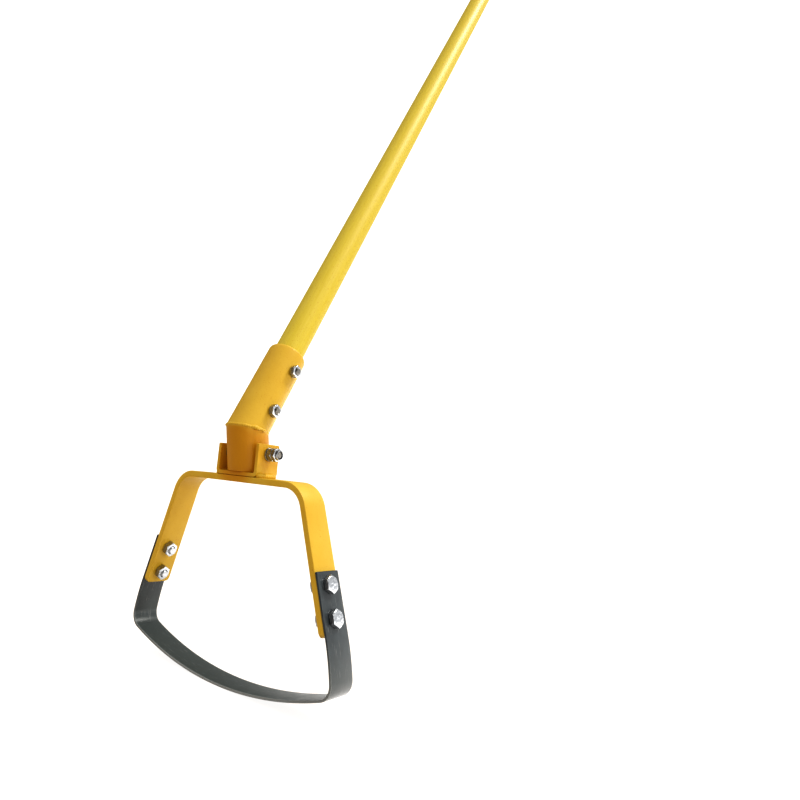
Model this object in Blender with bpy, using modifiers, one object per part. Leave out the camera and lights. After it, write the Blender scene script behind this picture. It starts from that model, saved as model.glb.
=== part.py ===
"""Long-handled stirrup weeder, built from separate pieces.

A bent spring-steel blade is bolted across the legs of a flat-bar bow. A U-shaped clevis is welded on top of
the bow, and the neck of the handle assembly swings in the clevis on one cross bolt.

Metres, +Z up. X runs along the swing axis and Y runs back, the way the handle leans. The origin is the
middle of the bow's flat underside.
"""
import math

import bmesh
import bpy
from mathutils import Matrix, Vector

MM = 0.001
GAP = 0.3 * MM                      # clearance between pieces that seat on each other

# Bow: an inverted U of flat bar with splayed legs
STRIP_WIDTH = 25.0 * MM
BOW_THICKNESS = 5.0 * MM
BOW_HALF_WIDTH = 71.8 * MM          # middle to the outer corner, as if it were sharp
BOW_CORNER_RADIUS = 22.8 * MM       # on the outer face
BOW_SPLAY = math.radians(17.65)     # each leg, from upright
BOW_LEG_LENGTH = 104.6 * MM         # from the sharp corner to the leg's end
BOW_END_RADIUS = 4.0 * MM

# Blade: a thin strip on the outer faces of the legs
BLADE_THICKNESS = 1.6 * MM
BLADE_OVERLAP = 42.0 * MM           # how far the blade reaches up the leg from its end
BLADE_TAB = 41.9 * MM               # straight stretch from the blade's end to the slow bend
BLADE_SHOULDER_RADIUS = 162.0 * MM  # slow bend below the leg's end
BLADE_SHOULDER_TURN = math.radians(9.7)
BLADE_CORNER_RADIUS = 10.0 * MM
BLADE_SAG_ANGLE = math.radians(19.0)  # slope of the cutting arc where it leaves the corner
BLADE_END_RADIUS = 1.0 * MM

# Blade bolts, measured up from the leg's end and forward of the strip's middle
BLADE_BOLT_INSET = 10.8 * MM
BLADE_BOLT_PITCH = 22.0 * MM
BLADE_BOLT_FORWARD = 1.0 * MM
BLADE_BOLT_OVERHANG = 1.6 * MM      # bolt end past its nut

# Bent tube: neck and socket are cut from one size of tube and meet in a mitre
TUBE_DIAMETER = 36.0 * MM
TUBE_WALL = 3.7 * MM
KNEE_BEND = math.radians(41.2)      # between the neck and the socket
KNEE_ABOVE_PIVOT = 19.8 * MM
SOCKET_LENGTH = 84.0 * MM
MITRE_BEAD_RADIUS = 1.7 * MM

# Clevis: U bracket, its base on the bow
CLEVIS_SIDE_PLAY = 2.8 * MM         # between the neck and each ear
CLEVIS_THICKNESS = 3.2 * MM
CLEVIS_HEIGHT = 27.3 * MM
CLEVIS_LEFT_SHORTER = 1.3 * MM      # the left ear ends this far below the right one
CLEVIS_BEND_RADIUS = 4.5 * MM       # on the outer face
CLEVIS_WELD_TOE = 1.8 * MM          # how far the side welds reach out past the ears
CLEVIS_WELD_RISE = math.radians(20)  # they reach up the bend to this far below its top
CLEVIS_WELD_LENGTH = 22.0 * MM
PIVOT_ABOVE_BOW = 19.2 * MM

# The stirrup swings this far to either side of the neck. The neck's lower end is sawn to two slants, and one
# of them lies flat on the clevis base at each end of the swing. It rests on the front one.
SWING_LIMIT = math.radians(11.3)
STOP_CLEARANCE = 0.35 * MM
SLEEVE_DIAMETER = 13.0 * MM

# Handle tube and its cap
HANDLE_PLAY = 0.5 * MM
HANDLE_WALL = 3.0 * MM
HANDLE_LENGTH = 1200.0 * MM
HANDLE_START = 8.0 * MM             # above the knee
CAP_SKIRT = 28.0 * MM
CAP_WALL = 2.0 * MM
CAP_TOP = 3.0 * MM
CAP_ROUND = 2.5 * MM
HANDLE_BOLT_HEIGHTS = {"lower": 19.8 * MM, "upper": 63.4 * MM}   # above the knee
HANDLE_BOLT_OVERHANG = 1.5 * MM     # bolt end past its nut
PIVOT_BOLT_DEPTH = 0.5 * MM         # bolt end inside the collar of its lock nut

# The blade's fasteners are a quarter inch, and the others are 6 mm
BLADE_HEX = {"thread": 6.35 * MM, "flats": 11.1 * MM, "head": 4.1 * MM, "nut": 5.6 * MM}
HANDLE_HEX = {"thread": 6.0 * MM, "flats": 10.0 * MM, "head": 4.0 * MM, "nut": 5.0 * MM}
LOCK_NUT_HEX = 3.5 * MM             # height of its six-sided part, with a round collar on it
LOCK_NUT_COLLAR = 2.1 * MM
LOCK_NUT_COLLAR_DIAMETER = 8.3 * MM
PIVOT_WASHER_DIAMETER = 11.0 * MM
PIVOT_WASHER_THICKNESS = 1.2 * MM
THREAD_TIP = 1.0 * MM               # chamfer at a bolt's end
TIP_SLOPE = 0.7                     # how far the chamfer goes in, for each unit of its length
END_FACE = 0.92                     # round end face of a head or nut, as a share of its flats
CORNER_SLOPE = math.radians(30)     # of the turned-off corners of a head or nut

# Places that follow from the sizes above
BOW_TOP = BOW_THICKNESS
PIVOT_Z = BOW_TOP + PIVOT_ABOVE_BOW
CLEVIS_BASE = BOW_TOP + GAP
CLEVIS_FLOOR = CLEVIS_BASE + CLEVIS_THICKNESS
TUBE_RADIUS = TUBE_DIAMETER / 2
EAR_INNER = TUBE_RADIUS + CLEVIS_SIDE_PLAY
EAR_OUTER = EAR_INNER + CLEVIS_THICKNESS
STOP_DROP = PIVOT_Z - CLEVIS_FLOOR - STOP_CLEARANCE       # from the pivot down to the stop
TUBE_BORE = TUBE_RADIUS - TUBE_WALL
HANDLE_RADIUS = TUBE_BORE - HANDLE_PLAY
HANDLE_TOP = HANDLE_START + HANDLE_LENGTH
LONG = 200.0 * MM                   # cutters reach well past what they cut
ROUND_STEPS = 48                    # sides of the tubes
SMALL_STEPS = 24                    # sides of fasteners and their holes

UPRIGHT = Matrix.Identity(3)
ALONG_X = Matrix(((0, 0, 1), (0, 1, 0), (-1, 0, 0)))          # local Z lies along +X
ALONG_MINUS_X = Matrix(((0, 0, -1), (0, 1, 0), (1, 0, 0)))    # local Z lies along -X
OUTLINE_XZ = Matrix(((1, 0, 0), (0, 0, -1), (0, 1, 0)))       # a flat outline stands in the XZ plane

PAINT = ((0.87, 0.48, 0.045), 0.38, 0.0)
HANDLE_YELLOW = ((0.83, 0.62, 0.10), 0.22, 0.0)
CAP_BLACK = ((0.02, 0.02, 0.02), 0.6, 0.0)
ZINC = ((0.62, 0.63, 0.64), 0.3, 1.0)
BLADE_STEEL = ((0.07, 0.075, 0.08), 0.42, 0.6)


def clear_scene():
    """Remove whatever the scene holds, and make the two collections."""
    for old in list(bpy.data.objects):
        bpy.data.objects.remove(old, do_unlink=True)
    made = []
    for name in ("weeder", "cutters"):
        collection = bpy.data.collections.new(name)
        bpy.context.scene.collection.children.link(collection)
        made.append(collection)
    return made


def material(name, look):
    """One plain material of a colour, a roughness and a metallic value."""
    colour, roughness, metallic = look
    made = bpy.data.materials.new(name)
    made.use_nodes = True
    shader = made.node_tree.nodes["Principled BSDF"]
    shader.inputs["Base Color"].default_value = (*colour, 1.0)
    shader.inputs["Roughness"].default_value = roughness
    shader.inputs["Metallic"].default_value = metallic
    return made


def empty(name, parent=None, location=(0, 0, 0), tilt=0.0):
    """A frame that pieces hang on, turned about X by tilt."""
    made = bpy.data.objects.new(name, None)
    made.empty_display_size = 0.02
    made.parent = parent
    made.location = location
    made.rotation_euler = (tilt, 0, 0)
    PARTS.objects.link(made)
    return made


def place(made, collection, parent, location, rotation):
    """Link an object and set its place in its parent's frame."""
    collection.objects.link(made)
    made.parent = parent
    made.location = location
    made.rotation_euler = rotation.to_euler()
    return made


def piece(name, mesh, look, parent, location=(0, 0, 0), rotation=UPRIGHT):
    """One named sub-part of the weeder."""
    made = bpy.data.objects.new(name, mesh)
    mesh.materials.clear()
    mesh.materials.append(material(name + "_finish", look))
    mesh.set_sharp_from_angle(angle=math.radians(35))
    return place(made, PARTS, parent, location, rotation)


def copy_piece(name, source, look, parent, location, rotation=UPRIGHT):
    """A further sub-part with the same shape as a mesh that was made before."""
    return piece(name, source.copy(), look, parent, location, rotation)


def cutter(name, mesh, parent, location=(0, 0, 0), rotation=UPRIGHT):
    """A hidden solid that only shapes other pieces."""
    made = bpy.data.objects.new(name, mesh)
    made.display_type = "WIRE"
    made.hide_render = True
    return place(made, CUTTERS, parent, location, rotation)


def cut(target, tool, operation="DIFFERENCE"):
    """Shape the target by a cutter, as a live modifier."""
    step = target.modifiers.new(operation.lower() + "_" + tool.name, "BOOLEAN")
    step.operation = operation
    step.solver = "EXACT"
    step.object = tool
    return target


def baked(made):
    """The mesh of an object with its modifiers applied. The object goes away."""
    view = bpy.context.view_layer
    view.update()
    mesh = bpy.data.meshes.new_from_object(made.evaluated_get(bpy.context.evaluated_depsgraph_get()))
    bpy.data.objects.remove(made, do_unlink=True)
    return mesh


def cleaned(mesh, orient=UPRIGHT):
    """Weld doubled points, join coplanar faces, turn the mesh and point its faces outward."""
    work = bmesh.new()
    work.from_mesh(mesh)
    bmesh.ops.remove_doubles(work, verts=work.verts, dist=1e-6)
    bmesh.ops.dissolve_limit(work, angle_limit=1e-3, verts=work.verts, edges=work.edges)
    bmesh.ops.transform(work, matrix=orient.to_4x4(), verts=work.verts)
    bmesh.ops.recalc_face_normals(work, faces=work.faces)
    work.to_mesh(mesh)
    work.free()
    return mesh


def loose(name, data):
    """An object in the cutters' collection, for a shape that is baked straight away."""
    made = bpy.data.objects.new(name, data)
    CUTTERS.objects.link(made)
    return made


def turned(name, profile, closed=False, steps=ROUND_STEPS):
    """Turn a profile of (radius, height) points round Z. The outer side runs from top to bottom."""
    mesh = bpy.data.meshes.new(name)
    edges = [(i, i + 1) for i in range(len(profile) - 1)]
    if closed:
        edges.append((len(profile) - 1, 0))
    mesh.from_pydata([(radius, 0.0, height) for radius, height in profile], edges, [])
    made = loose(name, mesh)
    screw = made.modifiers.new("turn", "SCREW")
    screw.steps = steps
    screw.render_steps = steps
    screw.use_merge_vertices = True
    screw.merge_threshold = 1e-5
    return cleaned(baked(made))


def ring(name, inner, outer, bottom, top, steps=ROUND_STEPS):
    """A plain round ring, such as a tube or a washer."""
    return turned(name, [(outer, top), (outer, bottom), (inner, bottom), (inner, top)], True, steps)


def rod(radius, low, high, steps=ROUND_STEPS):
    """A solid round bar along Z from low to high."""
    work = bmesh.new()
    bmesh.ops.create_cone(work, cap_ends=True, segments=steps, radius1=radius, radius2=radius, depth=high - low)
    bmesh.ops.translate(work, vec=(0, 0, (low + high) / 2), verts=work.verts)
    mesh = bpy.data.meshes.new("rod")
    work.to_mesh(mesh)
    work.free()
    return mesh


def sliced(mesh, point, normal):
    """Cut a solid by a plane, drop what lies on the normal's side and close the cut."""
    work = bmesh.new()
    work.from_mesh(mesh)
    everything = work.verts[:] + work.edges[:] + work.faces[:]
    bmesh.ops.bisect_plane(work, geom=everything, plane_co=point, plane_no=normal, clear_outer=True)
    bmesh.ops.holes_fill(work, edges=[edge for edge in work.edges if edge.is_boundary])
    bmesh.ops.recalc_face_normals(work, faces=work.faces)
    work.to_mesh(mesh)
    work.free()
    return mesh


def flat(name, outline, width, orient):
    """A flat outline, filled and thickened evenly to both sides."""
    data = bpy.data.curves.new(name, "CURVE")
    data.dimensions = "2D"
    data.fill_mode = "BOTH"
    data.extrude = width / 2
    line = data.splines.new("POLY")
    line.points.add(len(outline) - 1)
    for point, (across, up) in zip(line.points, outline):
        point.co = (across, up, 0.0, 1.0)
    line.use_cyclic_u = True
    made = loose(name, data)
    mesh = baked(made)
    bpy.data.curves.remove(data)
    return cleaned(mesh, orient)


def walk(start, heading, runs):
    """Points and headings along straight runs and arcs.

    A run is (length,) or (radius, turn), and a positive turn goes to the left. An arc has a point about
    every six degrees, and at least one a millimetre and a half of sag on the widest.
    """
    spot = Vector(start)
    steps = [(spot.copy(), heading)]
    for run in runs:
        if len(run) == 1:
            spot = spot + Vector((math.cos(heading), math.sin(heading))) * run[0]
            steps.append((spot.copy(), heading))
            continue
        radius, turn = run
        side = math.copysign(1.0, turn)
        centre = spot + Vector((-math.sin(heading), math.cos(heading))) * radius * side
        count = max(math.ceil(abs(turn) / math.radians(6)), math.ceil(abs(turn) * radius / (8 * MM)))
        for index in range(1, count + 1):
            angle = heading + turn * index / count
            out = Vector((math.sin(angle), -math.cos(angle))) * radius * side
            steps.append((centre + out, angle))
        spot, heading = steps[-1][0].copy(), heading + turn
    return steps


def beside(steps, distance):
    """The same path moved to its left by distance."""
    return [spot + Vector((-math.sin(angle), math.cos(angle))) * distance for spot, angle in steps]


def strip_outline(steps, thickness):
    """Closed outline of a bent strip from its right half, which starts on the middle line."""
    near = beside(steps, 0.0)
    far = beside(steps, thickness)
    right = near + far[::-1]
    left = [Vector((-spot.x, spot.y)) for spot in far + near[::-1]]
    outline = []
    for spot in right + left:
        if not outline or (spot - outline[-1]).length > 1e-7:
            outline.append(spot)
    if (outline[0] - outline[-1]).length < 1e-7:
        outline.pop()
    return [tuple(spot) for spot in outline]


def round_strip_ends(mesh, end, thickness, radius):
    """Round the corners of a strip's two ends. end is the right end's outline point."""
    work = bmesh.new()
    work.from_mesh(mesh)
    chosen = []
    for edge in work.edges:
        middle = (edge.verts[0].co + edge.verts[1].co) / 2
        near_end = (Vector((abs(middle.x), middle.z)) - end).length < thickness
        across = abs(edge.verts[0].co.y - edge.verts[1].co.y) < 1e-6
        if near_end and across and abs(edge.calc_length() - thickness) < 1e-5:
            chosen.append(edge)
    bmesh.ops.bevel(work, geom=chosen, offset=radius, offset_type="OFFSET", segments=4, profile=0.5,
                    affect="EDGES", clamp_overlap=True)
    bmesh.ops.recalc_face_normals(work, faces=work.faces)
    work.to_mesh(mesh)
    work.free()
    return mesh


def hexagon(size, height, both_ends):
    """Six-sided body with its corners turned off at the top, and at the bottom too for a nut."""
    corner = size["flats"] / math.sqrt(3)
    face = size["flats"] / 2 * END_FACE
    drop = (corner + GAP - face) * math.tan(CORNER_SLOPE)
    body = loose("hexagon", rod(corner, 0.0, height, steps=6))
    wide = corner + GAP
    low = [(wide, drop), (face, 0.0)] if both_ends else [(wide, 0.0)]
    shape = [(0.0, height), (face, height), (wide, height - drop)] + low + [(0.0, 0.0)]
    tool = loose("corners", turned("corners", shape, steps=SMALL_STEPS))
    cut(body, tool, "INTERSECT")
    mesh = baked(body)
    bpy.data.objects.remove(tool, do_unlink=True)
    return mesh


def hex_bolt(size, length):
    """Hex bolt: the head stands on Z = 0 and the shank runs down from it."""
    radius = size["thread"] / 2
    inside = size["head"] / 2
    tip = radius - THREAD_TIP * TIP_SLOPE
    shape = [(0.0, inside), (radius, inside), (radius, THREAD_TIP - length), (tip, -length), (0.0, -length)]
    body = loose("head", hexagon(size, size["head"], both_ends=False))
    tool = loose("shank", turned("shank", shape, steps=SMALL_STEPS))
    cut(body, tool, "UNION")
    mesh = baked(body)
    bpy.data.objects.remove(tool, do_unlink=True)
    return mesh


def hex_nut(size, height=None):
    """Hex nut that stands on Z = 0, with a bore that clears its bolt."""
    height = height or size["nut"]
    body = loose("nut", hexagon(size, height, both_ends=True))
    tool = loose("nut_bore", rod(size["thread"] / 2 + GAP, -height, 2 * height, SMALL_STEPS))
    cut(body, tool)
    mesh = baked(body)
    bpy.data.objects.remove(tool, do_unlink=True)
    return mesh


def lock_nut(size):
    """Hex nut that stands on Z = 0, with a round collar on its outer face."""
    collar = loose("collar", rod(LOCK_NUT_COLLAR_DIAMETER / 2, LOCK_NUT_HEX / 2, LOCK_NUT_HEX + LOCK_NUT_COLLAR))
    body = loose("lock_nut", hexagon(size, LOCK_NUT_HEX, both_ends=True))
    cut(body, collar, "UNION")
    bore = loose("lock_nut_bore", rod(size["thread"] / 2 + GAP, -LOCK_NUT_HEX, 3 * LOCK_NUT_HEX, SMALL_STEPS))
    cut(body, bore)
    mesh = baked(body)
    for tool in (collar, bore):
        bpy.data.objects.remove(tool, do_unlink=True)
    return mesh


def leg_frame(side):
    """Outward and downward directions of a leg of the bow, side 1 on the right and -1 on the left."""
    outward = Vector((side * math.cos(BOW_SPLAY), 0, math.sin(BOW_SPLAY)))
    downward = Vector((side * math.sin(BOW_SPLAY), 0, -math.cos(BOW_SPLAY)))
    return outward, downward


def leg_point(side, along, out, forward=0.0):
    """A point on a leg: along it from the sharp corner, out from its outer face and forward of its middle."""
    outward, downward = leg_frame(side)
    return Vector((side * BOW_HALF_WIDTH, -forward, BOW_TOP)) + downward * along + outward * out


def facing(direction, up):
    """Turn local Z to a direction and local Y to an upright direction square to it."""
    return Matrix((up.cross(direction), up, direction)).transposed()


def build_bow(parent, origin):
    """Flat bar with two bends, rounded leg ends and four bolt holes."""
    turn = math.pi / 2 - BOW_SPLAY
    taken = BOW_CORNER_RADIUS * math.tan(turn / 2)
    runs = [(BOW_HALF_WIDTH - taken,), (BOW_CORNER_RADIUS, -turn), (BOW_LEG_LENGTH - taken,)]
    steps = walk((0.0, BOW_TOP), 0.0, runs)
    mesh = flat("bow", strip_outline(steps, -BOW_THICKNESS), STRIP_WIDTH, OUTLINE_XZ)
    end = (beside(steps, 0.0)[-1] + beside(steps, -BOW_THICKNESS)[-1]) / 2
    round_strip_ends(mesh, end, BOW_THICKNESS, BOW_END_RADIUS)
    return piece("bow", mesh, PAINT, parent, origin)


def build_blade(parent, origin):
    """Thin strip from leg to leg: straight tabs, a slow bend, a tight corner and one long cutting arc."""
    start_along = BOW_LEG_LENGTH - BLADE_OVERLAP
    start = leg_point(1, start_along, GAP)
    corner_turn = math.pi / 2 + BOW_SPLAY - BLADE_SHOULDER_TURN - BLADE_SAG_ANGLE
    runs = [(BLADE_TAB,), (BLADE_SHOULDER_RADIUS, -BLADE_SHOULDER_TURN), (BLADE_CORNER_RADIUS, -corner_turn)]
    tab = walk((start.x, start.z), BOW_SPLAY - math.pi / 2, runs)
    corner, heading = tab[-1]
    arc_radius = corner.x / math.sin(BLADE_SAG_ANGLE)
    tab += walk(corner, heading, [(arc_radius, -BLADE_SAG_ANGLE)])[1:]
    steps = tab[::-1]
    mesh = flat("blade", strip_outline(steps, BLADE_THICKNESS), STRIP_WIDTH, OUTLINE_XZ)
    end = beside(steps, BLADE_THICKNESS / 2)[-1]
    round_strip_ends(mesh, end, BLADE_THICKNESS, BLADE_END_RADIUS)
    return piece("blade", mesh, BLADE_STEEL, parent, origin)


def build_clevis(parent, origin, pivot_hole):
    """U bracket with the pivot hole through both ears."""
    reach = EAR_OUTER - CLEVIS_BEND_RADIUS
    rise = BOW_TOP + CLEVIS_HEIGHT - CLEVIS_BASE - CLEVIS_BEND_RADIUS
    steps = walk((0.0, CLEVIS_BASE), 0.0, [(reach,), (CLEVIS_BEND_RADIUS, math.pi / 2), (rise,)])
    mesh = flat("clevis", strip_outline(steps, CLEVIS_THICKNESS), STRIP_WIDTH, OUTLINE_XZ)
    for vertex in mesh.vertices:
        if vertex.co.x < 0 and vertex.co.z > BOW_TOP + CLEVIS_HEIGHT - GAP:
            vertex.co.z -= CLEVIS_LEFT_SHORTER
    made = piece("clevis", mesh, PAINT, parent, origin)
    return cut(made, pivot_hole)


def build_clevis_welds(parent, origin):
    """One bead along each side of the clevis, in the groove between its rounded bend and the bow."""
    bend = CLEVIS_BEND_RADIUS
    across, up = EAR_OUTER - bend, CLEVIS_BASE + bend
    start = -math.asin(bend / (bend + GAP))
    groove = []
    for step in range(7):
        angle = start + (-CLEVIS_WELD_RISE - start) * step / 6
        groove.append((across + (bend + GAP) * math.cos(angle), up + (bend + GAP) * math.sin(angle)))
    wide = EAR_OUTER + CLEVIS_WELD_TOE - groove[-1][0]
    tall = groove[-1][1] - CLEVIS_BASE
    crown = []
    for step in range(1, 6):
        angle = math.pi / 2 * (1 - step / 5)
        crown.append((groove[-1][0] + wide * math.cos(angle), CLEVIS_BASE + tall * math.sin(angle)))
    for name, side in (("left", -1), ("right", 1)):
        outline = [(side * x, z) for x, z in groove + crown]
        bead = flat("clevis_weld_" + name, outline[::side], CLEVIS_WELD_LENGTH, OUTLINE_XZ)
        piece("clevis_weld_" + name, bead, PAINT, parent, origin)


def build_blade_fasteners(parent, origin, bow, blade):
    """Four hex bolts with their heads outside and a nut on each inside the leg."""
    grip = BLADE_THICKNESS + BOW_THICKNESS + 3 * GAP
    bolt = hex_bolt(BLADE_HEX, grip + BLADE_HEX["nut"] + BLADE_BOLT_OVERHANG)
    nut = hex_nut(BLADE_HEX)
    hole = rod(BLADE_HEX["thread"] / 2 + GAP, -LONG / 8, LONG / 8, SMALL_STEPS)
    head_face = BLADE_THICKNESS + 2 * GAP
    lower = BOW_LEG_LENGTH - BLADE_BOLT_INSET
    for side_name, side in (("left", -1), ("right", 1)):
        outward, downward = leg_frame(side)
        out = facing(outward, -downward)
        inward = facing(-outward, -downward)
        for level_name, along in (("lower", lower), ("upper", lower - BLADE_BOLT_PITCH)):
            label = side_name + "_" + level_name
            hole_spot = origin + leg_point(side, along, 0.0, BLADE_BOLT_FORWARD)
            tool = cutter("hole_" + label, hole.copy(), parent, hole_spot, out)
            cut(bow, tool)
            cut(blade, tool)
            head_spot = origin + leg_point(side, along, head_face, BLADE_BOLT_FORWARD)
            copy_piece("blade_bolt_" + label, bolt, ZINC, parent, head_spot, out)
            nut_spot = origin + leg_point(side, along, head_face - grip, BLADE_BOLT_FORWARD)
            copy_piece("blade_nut_" + label, nut, ZINC, parent, nut_spot, inward)


def build_neck(neck_frame, handle_frame):
    """Tube from the clevis up to the mitre, the cross sleeve in it and the weld bead round the mitre."""
    half = KNEE_BEND / 2
    mitre = Vector((0, math.sin(half), math.cos(half)))
    knee = Vector((0, 0, KNEE_ABOVE_PIVOT))
    top = 2 * TUBE_DIAMETER
    neck_mesh = sliced(rod(TUBE_RADIUS, -STOP_DROP, top), knee - mitre * GAP / 2, mitre)
    for side in (-1, 1):
        slant = Vector((0, side * math.sin(SWING_LIMIT), -math.cos(SWING_LIMIT)))
        sliced(neck_mesh, slant * STOP_DROP, slant)
    neck = piece("neck_tube", neck_mesh, PAINT, neck_frame)
    cut(neck, cutter("neck_bore", rod(TUBE_BORE, -LONG, LONG), neck_frame))
    sleeve_hole = rod(SLEEVE_DIAMETER / 2 + GAP, -LONG, LONG)
    cut(neck, cutter("sleeve_hole", sleeve_hole, neck_frame, (0, 0, 0), ALONG_X))

    sleeve_half = EAR_INNER - GAP
    sleeve_mesh = ring("pivot_sleeve", HANDLE_HEX["thread"] / 2 + GAP, SLEEVE_DIAMETER / 2, -sleeve_half, sleeve_half)
    piece("pivot_sleeve", sleeve_mesh, ZINC, neck_frame, (0, 0, 0), ALONG_X)

    reach = TUBE_RADIUS + GAP
    neck_core_mesh = sliced(rod(reach, -TUBE_DIAMETER, top), knee + mitre * GAP, mitre)
    socket_side = Vector((0, math.sin(half), -math.cos(half)))
    socket_core_mesh = sliced(rod(reach, -TUBE_DIAMETER, top), socket_side * GAP, socket_side)
    weld = piece("mitre_weld", mitre_bead(half), PAINT, neck_frame, knee)
    cut(weld, cutter("neck_core", neck_core_mesh, neck_frame))
    cut(weld, cutter("socket_core", socket_core_mesh, handle_frame))


def mitre_bead(half):
    """A round bead along the outer edge of the mitre between the two tubes."""
    data = bpy.data.curves.new("mitre_bead", "CURVE")
    data.dimensions = "3D"
    data.bevel_depth = MITRE_BEAD_RADIUS
    data.bevel_resolution = 2
    line = data.splines.new("POLY")
    line.points.add(ROUND_STEPS - 1)
    for index, point in enumerate(line.points):
        angle = math.tau * index / ROUND_STEPS
        across, back = TUBE_RADIUS * math.cos(angle), TUBE_RADIUS * math.sin(angle)
        point.co = (across, back, -back * math.tan(half), 1.0)
    line.use_cyclic_u = True
    mesh = baked(loose("mitre_bead", data))
    bpy.data.curves.remove(data)
    return cleaned(mesh)


def build_socket(handle_frame, bolt_holes):
    """Tube round the handle's lower end, from the mitre to its rounded mouth."""
    half = KNEE_BEND / 2
    down = Vector((0, math.sin(half), -math.cos(half)))
    outer = TUBE_RADIUS
    lip = TUBE_WALL * 0.6
    arc = [math.radians(90 * step / 4) for step in range(5)]
    rim = [(outer - lip + lip * math.sin(angle), SOCKET_LENGTH - lip + lip * math.cos(angle)) for angle in arc]
    solid = turned("socket_tube", [(0.0, SOCKET_LENGTH)] + rim + [(outer, -TUBE_DIAMETER), (0.0, -TUBE_DIAMETER)])
    socket = piece("socket_tube", sliced(solid, -down * GAP / 2, down), PAINT, handle_frame)
    cut(socket, cutter("socket_bore", rod(TUBE_BORE, -LONG, LONG), handle_frame))
    for tool in bolt_holes:
        cut(socket, tool)


def build_handle(handle_frame, bolt_holes):
    """Round handle tube and the cap over its far end."""
    tube = ring("handle_tube", HANDLE_RADIUS - HANDLE_WALL, HANDLE_RADIUS, HANDLE_START, HANDLE_TOP)
    handle = piece("handle_tube", tube, HANDLE_YELLOW, handle_frame)
    for tool in bolt_holes:
        cut(handle, tool)
    inner = HANDLE_RADIUS + GAP
    outer = inner + CAP_WALL
    under = HANDLE_TOP + GAP
    top = under + CAP_TOP
    skirt = HANDLE_TOP - CAP_SKIRT
    arc = [math.radians(90 * step / 4) for step in range(5)]
    rim = [(outer - CAP_ROUND * (1 - math.sin(a)), top - CAP_ROUND * (1 - math.cos(a))) for a in arc]
    profile = [(0.0, top)] + rim + [(outer, skirt), (inner, skirt), (inner, under), (0.0, under)]
    piece("handle_end_cap", turned("handle_end_cap", profile), CAP_BLACK, handle_frame)


def build_handle_bolts(handle_frame):
    """Two cross bolts through socket and handle, each with its nut. Returns the cutters of their holes."""
    seat = TUBE_RADIUS + GAP
    length = 2 * seat + HANDLE_HEX["nut"] + HANDLE_BOLT_OVERHANG
    bolt = hex_bolt(HANDLE_HEX, length)
    nut = hex_nut(HANDLE_HEX)
    hole = rod(HANDLE_HEX["thread"] / 2 + GAP, -LONG / 2, LONG / 2, SMALL_STEPS)
    tools = []
    for level, height in HANDLE_BOLT_HEIGHTS.items():
        tools.append(cutter("handle_hole_" + level, hole.copy(), handle_frame, (0, 0, height), ALONG_X))
        copy_piece("handle_bolt_" + level, bolt, ZINC, handle_frame, (-seat, 0, height), ALONG_MINUS_X)
        copy_piece("handle_nut_" + level, nut, ZINC, handle_frame, (seat, 0, height), ALONG_X)
    return tools


def build_pivot_bolt(parent):
    """Cross bolt of the clevis with a washer at each ear, and a nut and a lock nut on the right."""
    washer_spot = EAR_OUTER + GAP
    seat = washer_spot + PIVOT_WASHER_THICKNESS + GAP
    bore, rim = HANDLE_HEX["thread"] / 2 + GAP, PIVOT_WASHER_DIAMETER / 2
    washer = ring("pivot_washer", bore, rim, 0.0, PIVOT_WASHER_THICKNESS, SMALL_STEPS)
    lock_seat = seat + HANDLE_HEX["nut"] + GAP
    bolt = hex_bolt(HANDLE_HEX, seat + lock_seat + LOCK_NUT_HEX + LOCK_NUT_COLLAR - PIVOT_BOLT_DEPTH)
    piece("pivot_bolt", bolt, ZINC, parent, (-seat, 0, 0), ALONG_MINUS_X)
    copy_piece("pivot_washer_left", washer, ZINC, parent, (-washer_spot, 0, 0), ALONG_MINUS_X)
    copy_piece("pivot_washer_right", washer, ZINC, parent, (washer_spot, 0, 0), ALONG_X)
    piece("pivot_nut", hex_nut(HANDLE_HEX), ZINC, parent, (seat, 0, 0), ALONG_X)
    piece("pivot_lock_nut", lock_nut(HANDLE_HEX), ZINC, parent, (lock_seat, 0, 0), ALONG_X)


def build_weeder():
    """The handle assembly on its fixed frame and the stirrup on the swing axis."""
    neck_frame = empty("neck_frame", None, (0, 0, PIVOT_Z), SWING_LIMIT)
    handle_frame = empty("handle_frame", neck_frame, (0, 0, KNEE_ABOVE_PIVOT), -KNEE_BEND)
    swing_axis = empty("swing_axis", None, (0, 0, PIVOT_Z))
    origin = Vector((0, 0, -PIVOT_Z))

    pivot_rod = rod(HANDLE_HEX["thread"] / 2 + GAP, -LONG, LONG, SMALL_STEPS)
    pivot_hole = cutter("pivot_hole", pivot_rod, swing_axis, (0, 0, 0), ALONG_X)
    bow = build_bow(swing_axis, origin)
    blade = build_blade(swing_axis, origin)
    build_clevis(swing_axis, origin, pivot_hole)
    build_clevis_welds(swing_axis, origin)
    build_blade_fasteners(swing_axis, origin, bow, blade)

    build_neck(neck_frame, handle_frame)
    build_pivot_bolt(neck_frame)
    bolt_holes = build_handle_bolts(handle_frame)
    build_socket(handle_frame, bolt_holes)
    build_handle(handle_frame, bolt_holes)


PARTS, CUTTERS = clear_scene()
build_weeder()
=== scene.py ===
# %% [markdown]
# # A stirrup weeder with a long handle
# The head of this weeder is a loop: a painted flat bar bent into a bow, and a thin strip of spring steel
# bolted across its legs. The loop swings a little on one cross bolt, so the strip scrapes on the push and
# on the pull. We start by loading the imported model, which fixes where every piece is.

# %% Load the fixed frame
import math

import bmesh
import bpy
import numpy as np
from mathutils import Matrix, Vector


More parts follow.
